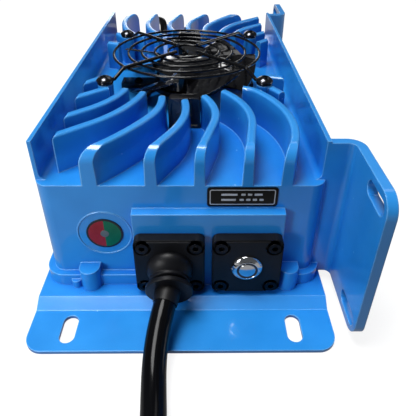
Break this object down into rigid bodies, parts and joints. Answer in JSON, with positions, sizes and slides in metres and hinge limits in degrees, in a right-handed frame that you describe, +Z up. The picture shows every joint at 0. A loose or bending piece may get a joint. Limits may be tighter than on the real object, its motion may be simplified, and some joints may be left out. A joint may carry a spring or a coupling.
{
  "type": "lithium battery charger",
  "caption": "Sealed battery charger: blue die-cast housing with curved fins round a guarded fan, two mounting ears, folded base plate, output lead and push-button.",
  "frame": {"origin": "on the fan axis, in the plane that the feet of the base plate stand on", "axes": "+Z up along the fan axis; -Y is the front with the output lead and the push-button; +X is the side with the two mounting ears"},
  "size_m": [0.171, 0.6395, 0.0835],
  "materials": {
    "blue_powder_coat": "gloss",
    "zinc_steel": "bright zinc",
    "black_nickel_steel": "black nickel",
    "black_fan_plastic": "gloss",
    "copper_winding": "enamelled",
    "black_cable": "gloss",
    "black_rubber": "matt",
    "black_wire_coat": "gloss dip coat",
    "black_nylon": "satin",
    "grey_plug_plastic": "satin",
    "silvered_copper": "silver plated",
    "black_plug_rubber": "satin",
    "brass_blades": "bright",
    "stainless_steel": "brushed",
    "clear_ring": "clear",
    "black_print": "gloss",
    "red_print": "gloss",
    "green_print": "gloss",
    "led_lens": "frosted",
    "label_film": "gloss",
    "green_board": "solder mask",
    "ferrite": "matt",
    "capacitor_sleeve": "shrink sleeve"
  },
  "bodies": {
    "charger": {"housing": "blue_powder_coat", "base_plate": "blue_powder_coat", "base_screws": "zinc_steel", "fan_base_screws": "black_nickel_steel", "board_screws": "zinc_steel", "guard_screws": "black_nickel_steel", "output_screws": "black_nickel_steel", "signal_screws": "black_nickel_steel", "input_screws": "black_nickel_steel", "fan_base": "black_fan_plastic", "fan_stator": "copper_winding", "fan_bearings": "zinc_steel", "fan_lead": "black_cable", "lead_grommet": "black_rubber", "fan_guard": "black_wire_coat", "output_gasket": "black_rubber", "signal_gasket": "black_rubber", "input_gasket": "black_rubber", "output_plate": "black_nylon", "signal_plate": "black_nylon", "input_plate": "black_nylon", "output_gland": "black_nylon", "input_gland": "black_nylon", "output_cable": "black_cable", "output_coil": "black_cable", "input_cable": "black_cable", "input_coil": "black_cable", "output_connector": "grey_plug_plastic", "output_contacts": "silvered_copper", "input_plug": "black_plug_rubber", "plug_blades": "brass_blades", "button_bezel": "stainless_steel", "button_nut": "stainless_steel", "button_spring": "zinc_steel", "button_ring": "clear_ring", "indicator_ring": "black_print", "indicator_red": "red_print", "indicator_green": "green_print", "indicator_lamp": "led_lens", "setting_label": "label_film", "circuit_board": "green_board", "transformer_core": "ferrite", "transformer_winding": "copper_winding", "smoothing_capacitors": "capacitor_sleeve", "output_choke": "copper_winding"},
    "fan": {"impeller": "black_fan_plastic", "fan_shaft": "zinc_steel"},
    "button": {"button_cap": "stainless_steel"}
  },
  "joints": [
    {"name": "fan_spin", "type": "hinge", "parent": "charger", "child": "fan", "pos_m": [0, 0, 0.065], "axis": [0, 0, 1], "continuous": true},
    {"name": "button_press", "type": "slide", "parent": "charger", "child": "button", "axis": [0, 1, 0], "range_m": [0, 0.0012], "stiffness_N_per_m": 400, "springref_m": -0.005}
  ]
}
